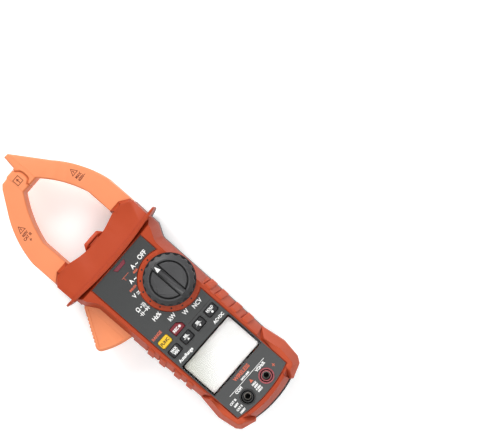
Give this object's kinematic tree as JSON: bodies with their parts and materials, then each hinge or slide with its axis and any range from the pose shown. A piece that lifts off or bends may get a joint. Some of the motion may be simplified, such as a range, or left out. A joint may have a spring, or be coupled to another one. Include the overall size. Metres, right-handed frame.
{
  "type": "clamp meter",
  "caption": "Hand-held clamp meter with an opening jaw worked by a side trigger, a rotary switch, press keys, a display window and shrouded input jacks.",
  "frame": {"origin": "on the flat rear face, on the mid-line, half-way along the overall length", "axes": "+Z out of the display face, +Y from the base to the jaws, +X to the right seen from the front"},
  "size_m": [0.0984, 0.249, 0.0458],
  "materials": {
    "case_orange": "fine satin, red-orange ABS",
    "case_dark": "fine grain, dark grey ABS",
    "soft_orange": "matt overmoulded elastomer",
    "soft_dark": "matt overmoulded elastomer",
    "panel": "satin printed polycarbonate sheet",
    "jaw_orange": "satin, light orange nylon",
    "knob_dark": "satin",
    "white_plastic": "satin",
    "key_dark": "satin",
    "key_yellow": "satin",
    "key_red": "satin",
    "lens_clear": "clear acrylic",
    "lcd_grey": "liquid crystal glass",
    "light_guide": "diffusing acrylic",
    "lens_red": "translucent dark red acrylic",
    "jack_red": "smooth nylon",
    "jack_black": "smooth nylon",
    "contact_brass": "turned, nickel flashed",
    "steel": "zinc plated",
    "core_steel": "laminated silicon steel",
    "spring_steel": "music wire",
    "board_green": "solder-masked glass epoxy",
    "chip_black": "moulded epoxy",
    "can_metal": "tinned steel",
    "mat_grey": "silicone",
    "carrier_white": "acetal",
    "battery_steel": "printed steel jacket",
    "lamp_red": "satin",
    "led_white": "clear epoxy"
  },
  "bodies": {
    "housing": {"alarm_lens": "lens_red", "base_bumper_left": "soft_orange", "base_bumper_right": "soft_orange", "battery": "battery_steel", "battery_clip": "chip_black", "battery_terminals": "can_metal", "board_chips": "chip_black", "board_screws": "steel", "case_screws": "steel", "face_overlay": "panel", "fixed_jaw_core": "core_steel", "fixed_jaw_front": "jaw_orange", "fixed_jaw_rear": "jaw_orange", "front_case": "case_orange", "hall_sensor": "board_green", "jack_body_com": "jack_black", "jack_body_volt": "jack_red", "jack_sleeve_com": "contact_brass", "jack_sleeve_volt": "contact_brass", "jaw_spring": "spring_steel", "keypad_mat": "mat_grey", "lamp_holder": "lamp_red", "lamp_led": "led_white", "lamp_lens": "lens_clear", "lcd_backlight": "light_guide", "lcd_frame": "chip_black", "lcd_glass": "lcd_grey", "lcd_lens": "lens_clear", "main_board": "board_green", "piezo_buzzer": "chip_black", "pivot_pin": "steel", "radio_module": "can_metal", "rear_case": "case_dark", "side_grip_left": "soft_orange", "side_grip_right": "soft_orange"},
    "moving_jaw": {"moving_jaw_core": "core_steel", "moving_jaw_front": "jaw_orange", "moving_jaw_rear": "jaw_orange"},
    "selector": {"knob": "knob_dark", "knob_pointer": "white_plastic", "switch_rotor": "carrier_white", "switch_wipers": "contact_brass", "detent_spring": "spring_steel"},
    "battery_cover": {"battery_door": "case_dark", "door_screws": "steel", "battery_pad": "soft_dark"},
    "key_function": {"key_function": "key_yellow"},
    "key_record": {"key_record": "key_red"},
    "key_max_min": {"key_max_min": "key_dark"},
    "key_up": {"key_up": "key_dark"},
    "key_down": {"key_down": "key_dark"},
    "key_hold": {"key_hold": "key_dark"}
  },
  "joints": [
    {"name": "jaw_open", "type": "hinge", "parent": "housing", "child": "moving_jaw", "pos_m": [-0.021, 0.03305, 0.0195], "axis": [0, 0, 1], "range_deg": [0, 26], "stiffness_Nm_per_rad": 1, "springref_deg": -17.19, "deforming": ["jaw_spring"]},
    {"name": "knob_turn", "type": "hinge", "parent": "housing", "child": "selector", "pos_m": [0.0154, -0.01445, 0.0373], "axis": [0, 0, 1], "range_deg": [0, 180]},
    {"name": "key_function_press", "type": "slide", "parent": "housing", "child": "key_function", "axis": [0, 0, -1], "range_m": [0, 0.0009], "stiffness_N_per_m": 900, "springref_m": -0.0006},
    {"name": "key_record_press", "type": "slide", "parent": "housing", "child": "key_record", "axis": [0, 0, -1], "range_m": [0, 0.0009], "stiffness_N_per_m": 900, "springref_m": -0.0006},
    {"name": "key_max_min_press", "type": "slide", "parent": "housing", "child": "key_max_min", "axis": [0, 0, -1], "range_m": [0, 0.0009], "stiffness_N_per_m": 900, "springref_m": -0.0006},
    {"name": "key_up_press", "type": "slide", "parent": "housing", "child": "key_up", "axis": [0, 0, -1], "range_m": [0, 0.0009], "stiffness_N_per_m": 900, "springref_m": -0.0006},
    {"name": "key_down_press", "type": "slide", "parent": "housing", "child": "key_down", "axis": [0, 0, -1], "range_m": [0, 0.0009], "stiffness_N_per_m": 900, "springref_m": -0.0006},
    {"name": "key_hold_press", "type": "slide", "parent": "housing", "child": "key_hold", "axis": [0, 0, -1], "range_m": [0, 0.0009], "stiffness_N_per_m": 900, "springref_m": -0.0006},
    {"name": "battery_cover_off", "type": "slide", "parent": "housing", "child": "battery_cover", "axis": [0, 0, -1], "range_m": [0, 0.03]}
  ]
}
